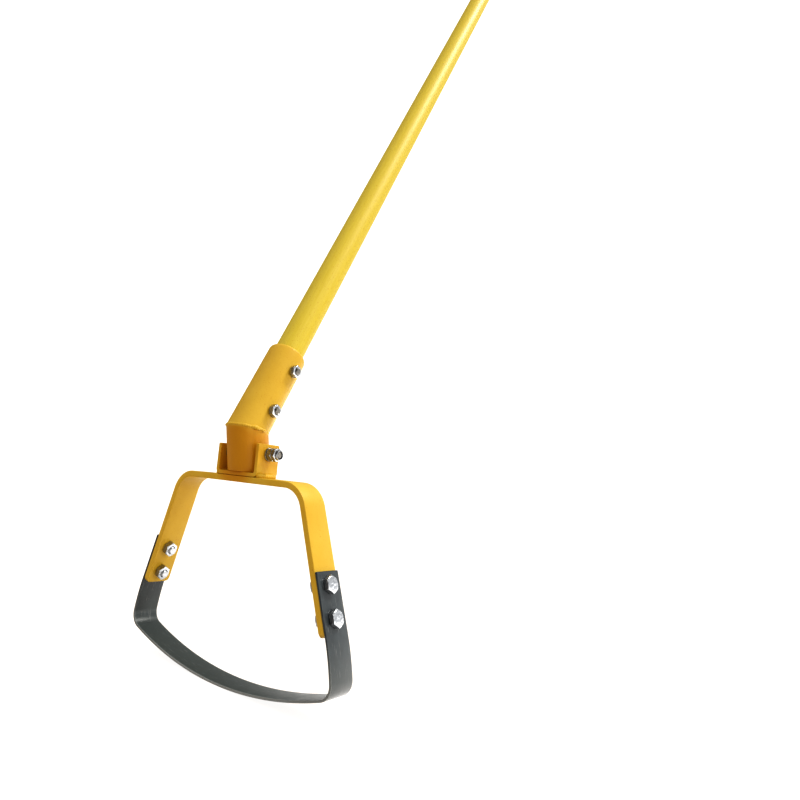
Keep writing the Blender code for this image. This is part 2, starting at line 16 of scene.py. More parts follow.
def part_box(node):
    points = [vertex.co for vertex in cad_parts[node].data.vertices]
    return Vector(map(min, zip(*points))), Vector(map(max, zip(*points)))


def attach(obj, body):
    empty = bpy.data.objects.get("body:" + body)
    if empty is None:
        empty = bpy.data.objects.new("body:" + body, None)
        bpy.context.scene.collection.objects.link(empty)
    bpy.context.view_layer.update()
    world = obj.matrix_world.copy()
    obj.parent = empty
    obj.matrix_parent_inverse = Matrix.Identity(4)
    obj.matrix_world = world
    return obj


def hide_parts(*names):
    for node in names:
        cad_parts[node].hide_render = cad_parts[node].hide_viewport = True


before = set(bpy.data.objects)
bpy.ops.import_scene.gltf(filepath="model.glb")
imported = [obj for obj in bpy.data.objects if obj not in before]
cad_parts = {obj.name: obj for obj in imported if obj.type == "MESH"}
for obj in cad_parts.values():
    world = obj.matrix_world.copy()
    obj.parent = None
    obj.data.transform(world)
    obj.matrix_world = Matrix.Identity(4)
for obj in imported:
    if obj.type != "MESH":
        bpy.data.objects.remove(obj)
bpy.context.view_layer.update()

# %% [markdown]
# ## From a grid of points to a skin
# Nearly every piece here is a surface of two parameters: rows run along the piece and columns run around it.
# We work out all the points at once as one array in millimetres, and one helper joins each point to its
# neighbours. Rows that shrink to a point are merged, so tips and poles are closed, and the normals are
# turned outwards once, after the merge.

# %% A skin over a grid
MM = 0.001
CREASE = 32.0
MERGE = 2e-6
POINT = 1e-7


def finish_mesh(mesh, crease):
    """Merges points that coincide, turns faces outwards and keeps edges sharper than crease degrees."""
    work = bmesh.new()
    work.from_mesh(mesh)
    bmesh.ops.remove_doubles(work, verts=work.verts, dist=MERGE)
    bmesh.ops.recalc_face_normals(work, faces=work.faces)
    work.to_mesh(mesh)
    work.free()
    mesh.shade_smooth()
    mesh.set_sharp_from_angle(angle=math.radians(crease))
    return mesh


def skin(name, grid, loop=False, facts=None, crease=CREASE):
    """Joins point (i, j) to (i+1, j), (i, j+1) and (i+1, j+1) by one face. The last column meets the first,
    loop joins the last row to the first, and otherwise each open end row is closed by one flat face. Facts,
    three lengths in millimetres for each point, are kept as the attribute lay, for a finish to read."""
    grid = np.asarray(grid, float) * MM
    rows, columns = grid.shape[:2]
    index = np.arange(rows * columns).reshape(rows, columns)
    tall = np.vstack([index, index[:1]]) if loop else index
    wide = np.hstack([tall, tall[:, :1]])
    faces = np.stack([wide[:-1, :-1], wide[:-1, 1:], wide[1:, 1:], wide[1:, :-1]], axis=-1)
    faces = faces.reshape(-1, 4).tolist()
    if not loop:
        faces += [index[row].tolist() for row in (0, -1) if np.ptp(grid[row], axis=0).max() > POINT]
    mesh = bpy.data.meshes.new(name)
    mesh.from_pydata(grid.reshape(-1, 3).tolist(), [], faces)
    if facts is not None:
        layer = mesh.attributes.new("lay", "FLOAT_VECTOR", "POINT")
        layer.data.foreach_set("vector", (np.asarray(facts, float) * MM).reshape(-1).astype(np.float32))
    made = bpy.data.objects.new(name, finish_mesh(mesh, crease))
    bpy.context.scene.collection.objects.link(made)
    return made


print("points within", MERGE / MM, "mm are merged, and edges over", CREASE, "degrees stay sharp")

# %% [markdown]
# ## The camera
# The photographer stood close to the blade, low, at the front right corner, and looked slightly up the
# handle. The lens sits a little off centre, which we give as a shift, and the camera is rolled by a few
# degrees. Its angles are in radians, and the back vector points from the target to the camera.

# %% Camera
AZIMUTH, ELEVATION, ROLL = 0.7545, -0.2418, 0.0976
TARGET = np.array([0.0221474, 0.0, 0.1404019])
DISTANCE = 0.5314724
PICTURE_SIDE = 800
LENS_CENTRE = (280.3765, 318.7051)
FOCAL_PIXELS = 608.9755
SENSOR = 36.0
back = np.array([math.sin(AZIMUTH) * math.cos(ELEVATION), -math.cos(AZIMUTH) * math.cos(ELEVATION),
                 math.sin(ELEVATION)])
level = np.array([math.cos(AZIMUTH), math.sin(AZIMUTH), 0.0])
upright = np.cross(back, level)
right = math.cos(ROLL) * level + math.sin(ROLL) * upright
over = np.cross(back, right)
spot = TARGET + DISTANCE * back
lens = bpy.data.cameras.new("camera")
lens.sensor_width = SENSOR
lens.lens = SENSOR * FOCAL_PIXELS / PICTURE_SIDE
lens.shift_x = (PICTURE_SIDE / 2 - LENS_CENTRE[0]) / PICTURE_SIDE
lens.shift_y = (LENS_CENTRE[1] - PICTURE_SIDE / 2) / PICTURE_SIDE
lens.clip_start = 0.01
camera = bpy.data.objects.new("camera", lens)
camera.matrix_world = Matrix([[right[k], over[k], back[k], spot[k]] for k in range(3)] + [[0, 0, 0, 1]])
bpy.context.scene.collection.objects.link(camera)
bpy.context.scene.camera = camera
print("camera at", np.round(spot, 3), "lens", round(lens.lens, 2), "mm")

# %% [markdown]
# ## Colours and nodes
# Colours are given as hex codes, as on a paint chart, and one function turns them into linear light. A second
# one gives a node its settings and links, and a third one adds a node. A node that is given as a value means
# its first output. A Mix node has inputs for each kind of data: for colours, 6 and 7 are what it blends, 0 is
# the share of the second one, and output 2 is the result.

# %% Colours and nodes


def paint(code):
    """Hex sRGB to linear RGBA: c gives ((c + 0.055) / 1.055) to the power 2.4, or c / 12.92 if small."""
    shades = [int(code[k:k + 2], 16) / 255 for k in (1, 3, 5)]
    return [((c + 0.055) / 1.055) ** 2.4 if c > 0.04045 else c / 12.92 for c in shades] + [1.0]


def wire(tree, node, values):
    """Gives each value to the node's input of that name or number: a link if it comes from another node, and
    a setting if not. A name that no input has is a property of the node itself."""
    for key, value in values.items():
        if isinstance(value, bpy.types.Node):
            value = value.outputs[0]
        if isinstance(value, bpy.types.NodeSocket):
            tree.links.new(value, node.inputs[key])
        elif isinstance(key, int) or key in node.inputs:
            node.inputs[key].default_value = value
        else:
            setattr(node, key, value)
    return node


def add(tree, kind, values=None):
    """Adds one shader node of a kind, such as MapRange, with its settings and links."""
    return wire(tree, tree.nodes.new("ShaderNode" + kind), values or {})


print("golden enamel in linear light:", [round(c, 3) for c in paint("#DBB43C")])

# %% [markdown]
# ## Lamps
# Small goods are shot for a catalogue under large soft lights. The main one hangs above the tool, a little to
# the right and behind it, so a leaning tube is brightest along its middle. A weaker one stands on the right
# behind a frosted screen and opens up the faces that the main one leaves in the shade.

# %% Lamps


def sky_light(name, toward, strength, spread, tint, mirrored=True):
    """A lamp as far as the sun: parallel light from the toward direction, softened by its angular spread. A
    lamp behind a frosted screen isn't mirrored as a spot."""
    data = bpy.data.lights.new(name, "SUN")
    data.energy = strength
    data.angle = math.radians(spread)
    data.color = paint(tint)[:3]
    lamp = bpy.data.objects.new(name, data)
    lamp.rotation_euler = Vector(toward).to_track_quat("Z", "Y").to_euler()
    lamp.visible_glossy = mirrored
    bpy.context.scene.collection.objects.link(lamp)
    return lamp


lamps = [sky_light("large_light", (0.39, 0.42, 0.82), strength=1.34, spread=12, tint="#FFFDF8"),
         sky_light("side_light", (0.93, 0.22, 0.0), strength=0.72, spread=30, tint="#FFFFFF", mirrored=False)]
print("lamps:", [(lamp.name, round(lamp.data.energy, 2)) for lamp in lamps])

# %% [markdown]
# ## The room
# A matt face gathers light from the whole room, which is pale overhead, and dim and warm low down. A shiny
# face mirrors one place in it, and what it mirrors gives it its shape: a bright backdrop behind the tool,
# brightest near the floor, and a dark room behind the camera. The camera itself sees plain white.

# %% Room
LOW_ROOM, HIGH_ROOM, WHITE = (0.155, 0.08, 0.028, 1), (0.85, 0.85, 0.85, 1), (1, 1, 1, 1)
world = bpy.data.worlds.new("studio")
bpy.context.scene.world = world
world.use_nodes = True
room = world.node_tree
room.nodes.clear()
toward = add(room, "TexCoord").outputs["Generated"]
rise = add(room, "SeparateXYZ", {"Vector": toward}).outputs["Z"]
overhead = add(room, "MapRange", {"From Max": 0.7, "Value": rise})
soft = add(room, "Mix", {"data_type": "RGBA", 0: overhead, 6: LOW_ROOM, 7: HIGH_ROOM}).outputs[2]
facing_back = add(room, "VectorMath", {"operation": "DOT_PRODUCT", 0: toward, 1: (0.75, 0.55, -0.35)})
screen = add(room, "MapRange", {"From Min": -0.4, "From Max": 0.85, "To Min": 0.08,
                                "Value": facing_back.outputs["Value"]})
low_band = add(room, "MapRange", {"From Min": 0.3, "From Max": 0.0, "To Max": 0.8, "Value": rise})
backdrop = add(room, "Math", {"operation": "MULTIPLY_ADD", 0: screen, 1: low_band, 2: screen})
ray = add(room, "LightPath").outputs
seen = add(room, "Mix", {"data_type": "RGBA", 0: ray["Is Glossy Ray"], 6: soft, 7: backdrop}).outputs[2]
seen = add(room, "Mix", {"data_type": "RGBA", 0: ray["Is Camera Ray"], 6: seen, 7: WHITE}).outputs[2]
around = add(room, "Background", {"Color": seen})
add(room, "OutputWorld", {"Surface": around})
print("the room has", len(room.nodes), "nodes")

# %% [markdown]
# ## The floor
# The floor is pale and glows a little, so it melts into the backdrop. Matt faces don't see the glow, or the
# undersides would lose their shade. Mirrors see it grow towards the backdrop, like a white card laid there.

# %% Floor
FLOOR_Z = -151.0
FLOOR_REACH = 40.0
ground = bpy.data.meshes.new("floor")
corners = [(x * FLOOR_REACH, y * FLOOR_REACH, FLOOR_Z * MM) for x, y in ((-1, -1), (1, -1), (1, 1), (-1, 1))]
ground.from_pydata(corners, [], [(0, 1, 2, 3)])
floor = bpy.data.objects.new("floor", ground)
bpy.context.scene.collection.objects.link(floor)
pale = bpy.data.materials.new("pale_floor")
pale.use_nodes = True
board = pale.node_tree
ground_spot = add(board, "TexCoord").outputs["Object"]
behind = add(board, "VectorMath", {"operation": "DOT_PRODUCT", 0: ground_spot, 1: (0.7, 0.7, 0.0)})
card = add(board, "MapRange", {"From Min": -0.15, "From Max": 0.15, "To Min": 0.15, "To Max": 2.3,
                               "Value": behind.outputs["Value"]})
path = add(board, "LightPath").outputs
shown = add(board, "MapRange", {"To Min": 0.64, "To Max": card, "Value": path["Is Glossy Ray"]})
glow = add(board, "MapRange", {"To Min": shown, "To Max": 0.0, "Value": path["Is Diffuse Ray"]})
wire(board, board.nodes["Principled BSDF"], {"Base Color": paint("#948473"), "Roughness": 0.9,
                                             "Emission Color": paint("#FFFFFF"), "Emission Strength": glow})
ground.materials.append(pale)
bpy.context.scene.view_settings.view_transform = "Standard"
bpy.context.scene.view_settings.look = "High Contrast"
print("floor lies", -FLOOR_Z, "mm below the bow's flat underside")

# %% [markdown]
# ## Flat bar that follows a line
# The bow, the clevis and the blade are all strips 25 mm wide that were bent without stretching. So each one
# starts as a line in the XZ plane, made of straights and arcs. We work out its right half and mirror it.

# %% A bent line
GAP = 0.3
PACE = 2.0
ARC_STEP = math.radians(4)


def bent_line(start, heading, runs):
    """Points, headings and distances along straights (length,) and arcs (radius, turn): along an arc the
    heading grows evenly with the distance, and the point turns round the arc's centre."""
    points, headings, lengths = [np.array([start], float)], [np.array([heading])], [np.zeros(1)]
    for run in runs:
        spot, heading = points[-1][-1], headings[-1][-1]
        if len(run) == 1:
            long = run[0]
            share = np.linspace(0, 1, max(2, int(long / PACE)) + 1)[1:]
            turned = np.full(share.shape, heading)
            moved = spot + np.outer(share * long, [math.cos(heading), math.sin(heading)])
        else:
            radius, turn = run
            long = radius * abs(turn)
            share = np.linspace(0, 1, max(8, int(long / PACE), int(abs(turn) / ARC_STEP)) + 1)[1:]
            turned = heading + turn * share
            hand = math.copysign(radius, turn)
            centre = spot + hand * np.array([-math.sin(heading), math.cos(heading)])
            moved = centre + hand * np.stack([np.sin(turned), -np.cos(turned)], axis=1)
        points.append(moved)
        headings.append(turned)
        lengths.append(long * share + lengths[-1][-1])
    return np.vstack(points), np.concatenate(headings), np.concatenate(lengths)


def both_sides(points, headings, lengths):
    """Joins a right half, from the middle line on, to its mirror image: one line from left to right."""
    spots = np.vstack([points[:0:-1] * [-1, 1], points])
    turned = np.concatenate([-headings[:0:-1], headings])
    walked = np.concatenate([-lengths[:0:-1], lengths])
    return spots, turned, walked


print("a quarter turn of 10 mm is", round(bent_line((0, 0), 0.0, [(10.0, math.pi / 2)])[2][-1], 2), "mm long")

# %% [markdown]
# Then a rounded rectangle is carried along the line. The ends have rounded corners, so the width shrinks over
# the last few millimetres. Each point also keeps how far along and across the strip it lies, as its lay,
# because a finish such as scratches should follow the bends.

# %% A strip along a line
STRIP_WIDTH = 25.0
ROW_MARGIN = 0.3
QUARTER_POINTS = 6


def resampled(spots, turned, walked, places):
    """The same line at other distances along it."""
    across = [np.interp(places, walked, column) for column in (spots[:, 0], spots[:, 1], turned)]
    return np.stack(across[:2], axis=1), across[2]


def strip(name, line, thickness, hand, edge, corner):
    """Point = line + normal * (±(t/2 - e) + e cos a) + across * (±(w/2 - e) + e sin a), where a goes round
    the section, e is the edge radius, t the thickness, and w the width, which a corner radius narrows at the
    ends. Hand says to which side of the line the metal lies."""
    spots, turned, walked = line
    reach = walked[-1]
    near = corner * (1 - np.cos(np.linspace(0, math.pi / 2, 9)))
    tip = edge * (1 - np.cos(np.linspace(0, math.pi / 2, 5)))
    ends = np.unique(np.round(np.concatenate([near, tip]), 5))
    clear = max(corner, edge) + ROW_MARGIN
    inner = walked[(walked > walked[0] + clear) & (walked < reach - clear)]
    places = np.concatenate([walked[0] + ends, inner, (reach - ends)[::-1]])
    spots, turned = resampled(spots, turned, walked, places)
    to_end = np.minimum(places - walked[0], reach - places)
    bite = np.clip(corner - to_end, 0, corner)
    half = STRIP_WIDTH / 2 - (corner - np.sqrt(np.maximum(corner ** 2 - bite ** 2, 0)))
    bite = np.clip(edge - to_end, 0, edge)
    round_off = np.sqrt(np.maximum(edge ** 2 - bite ** 2, 0))
    quarter = np.linspace(0, math.pi / 2, QUARTER_POINTS)
    angle = np.concatenate([quarter + k * math.pi / 2 for k in range(4)])
    sign_out = np.repeat([1, -1, -1, 1], QUARTER_POINTS)
    sign_side = np.repeat([1, 1, -1, -1], QUARTER_POINTS)
    out = hand * thickness / 2 + sign_out * (thickness / 2 - edge) + np.outer(round_off, np.cos(angle))
    side = np.outer(half - edge, sign_side) + np.outer(round_off, np.sin(angle))
    normal = np.stack([-np.sin(turned), np.cos(turned)], axis=1)
    plane = spots[:, None, :] + normal[:, None, :] * out[:, :, None]
    grid = np.stack([plane[..., 0], side, plane[..., 1]], axis=-1)
    lay = np.stack([np.broadcast_to(places[:, None], side.shape), side, out], axis=-1)
    return skin(name, grid, facts=lay)


print("a strip's section has", 4 * QUARTER_POINTS, "points round it")

# %% [markdown]
# Bolts need holes, and a Boolean modifier cuts them most simply. We apply it at once, so the skin is plain
# mesh again, and then take the drill away.

# %% A drilled hole
DRILL_SIDES = 48


def drill(made, radius, centre, axis=(1, 0, 0), length=90.0):
    """Cuts a round hole along an axis through a finished skin, with the shade kept crisp at its rim."""
    work = bmesh.new()
    bmesh.ops.create_cone(work, cap_ends=True, segments=DRILL_SIDES, radius1=radius * MM, radius2=radius * MM,
                          depth=length * MM)
    mesh = bpy.data.meshes.new("drill")
    work.to_mesh(mesh)
    work.free()
    turn = Vector(axis).to_track_quat("Z", "Y").to_matrix().to_4x4()
    mesh.transform(Matrix.Translation(Vector(centre) * MM) @ turn)
    tool = bpy.data.objects.new("drill", mesh)
    bpy.context.scene.collection.objects.link(tool)
    hole = made.modifiers.new("hole", "BOOLEAN")
    hole.operation = "DIFFERENCE"
    hole.solver = "EXACT"
    hole.object = tool
    bpy.context.view_layer.update()
    cut = bpy.data.meshes.new_from_object(made.evaluated_get(bpy.context.evaluated_depsgraph_get()))
    made.modifiers.clear()
    made.data = cut
    cut.name = made.name
    bpy.data.objects.remove(tool, do_unlink=True)
    cut.shade_smooth()
    cut.set_sharp_from_angle(angle=math.radians(CREASE))
    return made


print("holes are cut with", DRILL_SIDES, "sides")

# %% [markdown]
# ## The bow
# One length of 25 by 5 mm flat bar with two bends. Its legs splay outwards by nearly 18 degrees, and the
# line that we follow is its outer face. The bar comes from the mill with its edges slightly rounded, and the
# leg ends are trimmed with small corners.

# %% Bow
BOW_THICKNESS = 5.0
BOW_HALF_WIDTH = 71.8
BOW_CORNER_RADIUS = 22.8
BOW_SPLAY = math.radians(17.65)
BOW_LEG_LENGTH = 104.6
BOW_TOP = BOW_THICKNESS

bow_turn = math.pi / 2 - BOW_SPLAY
taken = BOW_CORNER_RADIUS * math.tan(bow_turn / 2)
bow_runs = [(BOW_HALF_WIDTH - taken,), (BOW_CORNER_RADIUS, -bow_turn), (BOW_LEG_LENGTH - taken,)]
bow_line = both_sides(*bent_line((0, BOW_TOP), 0.0, bow_runs))
bow = strip("bow_bar", bow_line, BOW_THICKNESS, hand=-1, edge=0.7, corner=4.0)
print("bow is", round(2 * bow_line[2][-1]), "mm of bar")

# %% [markdown]
# ## The blade
# The blade is a strip of spring steel 1.6 mm thick: flat tabs on the outside of the legs, a slow bend
# outwards, a tight corner and one long arc that does the cutting. Its line is its inner face. The arc's
# radius follows from where the corners end, because the halves have to meet level in the middle.

# %% Blade
BLADE_THICKNESS = 1.6
BLADE_SAG = math.radians(19)
TAB_FROM_CORNER = 62.6
TAB_LENGTH = 41.9
SHOULDER_RADIUS = 162.0
SHOULDER_TURN = math.radians(9.7)
BLADE_CORNER_RADIUS = 10.0

leg_out = np.array([math.cos(BOW_SPLAY), math.sin(BOW_SPLAY)])
leg_down = np.array([math.sin(BOW_SPLAY), -math.cos(BOW_SPLAY)])
tab_start = np.array([BOW_HALF_WIDTH, BOW_TOP]) + leg_down * TAB_FROM_CORNER + leg_out * GAP
corner_turn = math.pi / 2 + BOW_SPLAY - SHOULDER_TURN - BLADE_SAG
side_runs = [(TAB_LENGTH,), (SHOULDER_RADIUS, -SHOULDER_TURN), (BLADE_CORNER_RADIUS, -corner_turn)]
side_end = bent_line(tab_start, BOW_SPLAY - math.pi / 2, side_runs)[0][-1]
arc_radius = side_end[0] / math.sin(BLADE_SAG)
spots, turned, walked = bent_line(tab_start, BOW_SPLAY - math.pi / 2, side_runs + [(arc_radius, -BLADE_SAG)])
blade_line = both_sides(spots[::-1], turned[::-1] + math.pi, walked[-1] - walked[::-1])
blade = strip("blade_strip", blade_line, BLADE_THICKNESS, hand=-1, edge=0.25, corner=1.0)
print("blade is", round(2 * blade_line[2][-1]), "mm long, its arc has a radius of", round(arc_radius), "mm")

# %% [markdown]
# ## The clevis
# A short U of the same width stands on the bow and takes the cross bolt through its two ears. It was bent by
# hand, and its left ear came out a little shorter, so we squeeze the left side downwards afterwards.

# %% Clevis
CLEVIS_THICKNESS = 3.2
CLEVIS_BASE = BOW_TOP + GAP
CLEVIS_BEND = 4.5
EAR_OUTER = 24.0
EAR_INNER = EAR_OUTER - CLEVIS_THICKNESS
EAR_TOP = 32.3
EAR_CORNER = 1.2
LEFT_SHORTER = 1.3
SQUEEZED_ABOVE = 12.0
PIVOT_Z = 24.2
BOLT_HOLE = 3.3

clevis_runs = [(EAR_OUTER - CLEVIS_BEND,), (CLEVIS_BEND, math.pi / 2), (EAR_TOP - CLEVIS_BASE - CLEVIS_BEND,)]
clevis_line = both_sides(*bent_line((0, CLEVIS_BASE), 0.0, clevis_runs))
clevis = strip("clevis_bracket", clevis_line, CLEVIS_THICKNESS, hand=1, edge=0.45, corner=EAR_CORNER)
places = np.zeros(3 * len(clevis.data.vertices), np.float32)
clevis.data.vertices.foreach_get("co", places)
places = places.reshape(-1, 3)
up_ear = (places[:, 2] / MM - SQUEEZED_ABOVE) / (EAR_TOP - EAR_CORNER - SQUEEZED_ABOVE)
places[:, 2] -= LEFT_SHORTER * MM * np.clip(up_ear, 0, 1) * (places[:, 0] < 0)
clevis.data.vertices.foreach_set("co", places.reshape(-1))
clevis.data.update()
drill(clevis, BOLT_HOLE, (0, 0, PIVOT_Z))
print("clevis is", 2 * EAR_OUTER, "mm wide")

# %% [markdown]
# ## Tubes that lean
# Neck and socket are cut from one tube, 36 mm across, and meet at a slant. Each is turned round its own
# axis: a profile of radii and heights gives the outer wall, the rim and the bore, and at the slanted end the
# height also depends on where the point is on the circle. Afterwards the whole grid is tilted about X and
# moved into place, so the finished object stays unturned at the origin.

# %% Tilted frames and slanted tubes
SWING_LIMIT = math.radians(11.3)
KNEE_BEND = math.radians(41.2)
HALF_BEND = KNEE_BEND / 2
KNEE_ABOVE_PIVOT = 19.8
TUBE_RADIUS = 18.0
TUBE_BORE = 14.3


def tilted(grid, tilt, origin):
    """Turns points about X by tilt, y' = y cos - z sin, z' = y sin + z cos, and moves them to an origin."""
    x, y, z = grid[..., 0], grid[..., 1], grid[..., 2]
    return np.stack([x, y * math.cos(tilt) - z * math.sin(tilt), y * math.sin(tilt) + z * math.cos(tilt)],
                    axis=-1) + np.array(origin)


def in_neck(grid):
    """From the neck's own frame, Z along the neck and origin on the cross bolt, to the world."""
    return tilted(np.asarray(grid, float), SWING_LIMIT, (0, 0, PIVOT_Z))


def in_handle(grid):
    """From the handle's own frame, Z along the handle and origin at the knee, to the world."""
    return in_neck(tilted(np.asarray(grid, float), -KNEE_BEND, (0, 0, KNEE_ABOVE_PIVOT)))


def slanted_tube(profile, low_end, high_end, steps=96):
    """Point = (r cos a, r sin a, z), where a profile row gives the radius, a share and a lift, and
    z = low_end(y) * (1 - share) + high_end(y) * share + lift. Each end is a height that depends on y."""
    radius, share, lift = (np.array([row[k] for row in profile])[:, None] for k in range(3))
    angle = np.linspace(0, 2 * math.pi, steps, endpoint=False)[None, :]
    x, y = radius * np.cos(angle), radius * np.sin(angle)
    return np.stack([x, y, low_end(y) * (1 - share) + high_end(y) * share + lift], axis=-1)


knee = in_handle([[0, 0, 0]])[0]
print("the knee is at", np.round(knee, 1))

# %% [markdown]
# ## Neck and socket
# The neck's lower end is sawn to two slants that meet at its middle, so one of them lies along the clevis
# base at each end of the swing. The socket's mouth is rounded over, because the paint and the swaging
# soften it. Both profiles run once round the wall, with a small radius at each edge.

# %% Neck
STOP_DROP = 15.65


def neck_foot(y):
    """Height of the neck's lower end: (|y| sin s - drop) / cos s for a swing of s, and never below -drop."""
    return np.maximum((np.abs(y) * math.sin(SWING_LIMIT) - STOP_DROP) / math.cos(SWING_LIMIT), -STOP_DROP)


def neck_mitre(y):
    """Height of the neck's upper end, a plane that leans by half the knee's bend."""
    return KNEE_ABOVE_PIVOT - GAP / 2 / math.cos(HALF_BEND) - math.tan(HALF_BEND) * y


walls = np.linspace(0, 1, 9)
neck_profile = [(TUBE_RADIUS, share, 0.7 * (1 - share)) for share in walls]
neck_profile += [(TUBE_BORE, share, 0.4 * (1 - share)) for share in walls[::-1]]
neck_profile += [(TUBE_BORE + 0.12, 0, 0.12), (TUBE_BORE + 0.4, 0, 0), (TUBE_RADIUS - 0.7, 0, 0),
                 (TUBE_RADIUS - 0.35, 0, 0.1), (TUBE_RADIUS - 0.1, 0, 0.35)]
neck = skin("neck_upright", in_neck(slanted_tube(neck_profile, neck_foot, neck_mitre)), loop=True)
print("neck reaches", STOP_DROP, "mm below the cross bolt")

# %% Socket
SOCKET_LENGTH = 84.0
LIP = 2.6


def socket_mitre(y):
    """Height of the socket's lower end, the other side of the knee's plane."""
    return GAP / 2 / math.cos(HALF_BEND) + math.tan(HALF_BEND) * y


def level_at(height):
    """An end that is square to the tube, at one height."""
    return lambda y: np.full_like(y, height)


lip_turn = np.linspace(0, math.pi / 2, 7)
socket_profile = [(TUBE_RADIUS, share, -LIP * share) for share in walls]
socket_profile += [(TUBE_RADIUS - LIP * (1 - math.cos(a)), 1, -LIP * (1 - math.sin(a))) for a in lip_turn[1:]]
socket_profile += [(TUBE_BORE + 0.35, 1, 0), (TUBE_BORE + 0.1, 1, -0.1)]
socket_profile += [(TUBE_BORE, share, -0.4 * share) for share in walls[::-1]]
socket_grid = slanted_tube(socket_profile, socket_mitre, level_at(SOCKET_LENGTH))
socket = skin("socket_sleeve", in_handle(socket_grid), loop=True)
print("socket is", SOCKET_LENGTH, "mm along the handle")

# %% [markdown]
# ## Weld beads
# A bead is metal that froze in small crescents behind the arc. Its section is round and carried along the
# seam, and its radius swells and sinks a little: short waves for the crescents and long ones for the hand
# that moved unevenly. The mitre's seam is the ellipse where the slanted plane cuts the tube.

# %% Mitre bead


def lump(angle, centre, width):
    """A smooth hill of height 1 at a centre angle: e to the power -(turn from the centre / width) squared."""
    turn = np.mod(angle - math.radians(centre) + math.pi, 2 * math.pi) - math.pi
    return np.exp(-(turn / math.radians(width)) ** 2)


def mitre_bead(radius, steps=720, around=18):
    """Seam = (R cos a, R sin a, R sin a tan h). Point = seam + p (m cos b + n sin b), where n is the plane's
    normal, m is square to n and to the seam, and p = radius * (1 + crescents + lumps and thin places)."""
    angle = np.linspace(0, 2 * math.pi, steps, endpoint=False)
    slope = math.tan(HALF_BEND)
    thick = 0.72 - 0.1 * lump(angle, 290, 25) + 0.5 * lump(angle, 338, 10) + 0.2 * lump(angle, 2, 8)
    thick += 0.25 * lump(angle, 130, 25) - 0.3 * lump(angle, 45, 32)
    thick += 0.06 * np.sin(7 * angle + 2.0) + 0.05 * np.sin(13 * angle)
    reach = TUBE_RADIUS - 0.9 + 0.5 * thick
    seam = reach[:, None] * np.stack([np.cos(angle), np.sin(angle), np.sin(angle) * slope], axis=1)
    along = np.stack([-np.sin(angle), np.cos(angle), np.cos(angle) * slope], axis=1)
    along /= np.linalg.norm(along, axis=1)[:, None]
    normal = np.array([0, -math.sin(HALF_BEND), math.cos(HALF_BEND)])
    out = np.cross(along, normal)
    turn = np.linspace(0, 2 * math.pi, around, endpoint=False)
    beat = 58 * angle + 0.9 * np.sin(3 * angle + 1.0)
    crescent = 0.06 * np.cos(beat[:, None] + 1.1 * np.cos(turn)[None, :])
    swell = radius * (thick[:, None] + crescent)
    ring = out[:, None, :] * np.cos(turn)[None, :, None] + normal * np.sin(turn)[None, :, None]
    return seam[:, None, :] + ring * swell[:, :, None]


mitre = skin("mitre_bead", in_handle(mitre_bead(1.7)), loop=True, crease=60)
print("mitre bead has", len(mitre.data.vertices), "points")

# %% Clevis beads


def side_bead(hand, length=22.0, radius=2.8, steps=150, around=18):
    """Point = (x + p cos b, y, z + p sin b) along the groove between bend and bow, where p is the radius
    times a round end and small crescents. Hand is 1 on the right and -1 on the left."""
    y = np.linspace(-length / 2, length / 2, steps)[:, None]
    end = np.clip((np.abs(y) - length / 2 + radius) / radius, 0, 1)
    turn = np.linspace(0, 2 * math.pi, around, endpoint=False)
    wander = 0.25 * np.sin(y / 3.4 + hand)
    crescent = 0.06 * np.cos(2 * math.pi * y / 2.1 + 1.7 * hand)
    swell = radius * np.sqrt(1 - end ** 2) * (1 + crescent)
    x = hand * (EAR_OUTER - 0.6 + wander + swell * np.cos(turn))
    z = BOW_TOP + 1.3 + 0.85 * swell * np.sin(turn)
    return np.stack(np.broadcast_arrays(x, y, z), axis=-1)


bead_left = skin("clevis_bead_left", side_bead(-1), crease=60)
bead_right = skin("clevis_bead_right", side_bead(1), crease=60)
print("clevis beads have", len(bead_left.data.vertices), "points each")

# %% [markdown]
# ## Nuts and bolts
# A hex body is a turned body whose radius depends on the direction. We let the columns crowd at the six
# corners, where a small rounding catches the light.

# %% Hexagons
BLADE_HEX = {"thread": 6.35, "flats": 11.1, "head": 4.1, "nut": 5.6, "pitch": 1.27}
HANDLE_HEX = {"thread": 6.0, "flats": 10.0, "head": 4.0, "nut": 5.0, "pitch": 1.0}
CORNER_COLUMNS = np.array([0, 0.7, 1.4, 2.1, 4.5, 8, 13, 18, 24, 30.0])


def hex_columns():
    """Directions round a hexagon, crowded at its six corners, which lie at 30, 90, 150 ... degrees."""
    sector = np.concatenate([-CORNER_COLUMNS[:0:-1], CORNER_COLUMNS[:-1]])
    return np.radians(np.concatenate([30 + 60 * k + sector for k in range(6)]))


def hex_radius(angle, flats, rounding=0.45):
    """Distance to the edge: (flats / 2) / cos d on a flat, d from its middle, and at a corner the far side
    of a circle of the rounding's radius that touches both flats."""
    from_flat = np.mod(angle + math.pi / 6, math.pi / 3) - math.pi / 6
    from_corner = np.mod(angle, math.pi / 3) - math.pi / 6
    depth = (flats / 2 - rounding) / math.cos(math.pi / 6)
    reach = rounding ** 2 - (depth * np.sin(from_corner)) ** 2
    curve = depth * np.cos(from_corner) + np.sqrt(np.maximum(reach, 0))
    straight = flats / 2 / np.cos(from_flat)
    limit = math.atan2(rounding / 2, depth + rounding * math.cos(math.pi / 6))
    return np.where(np.abs(from_corner) < limit, curve, straight)


def lathe(rows, angle):
    """Point = (r cos a, r sin a, z) for rows of (r, z), each one number or a value for every direction a."""
    radius, height = (np.array([np.broadcast_to(row[k], angle.shape) for row in rows]) for k in range(2))
    return np.stack([radius * np.cos(angle), radius * np.sin(angle), height], axis=-1)


print("a hexagon has", len(hex_columns()), "columns")

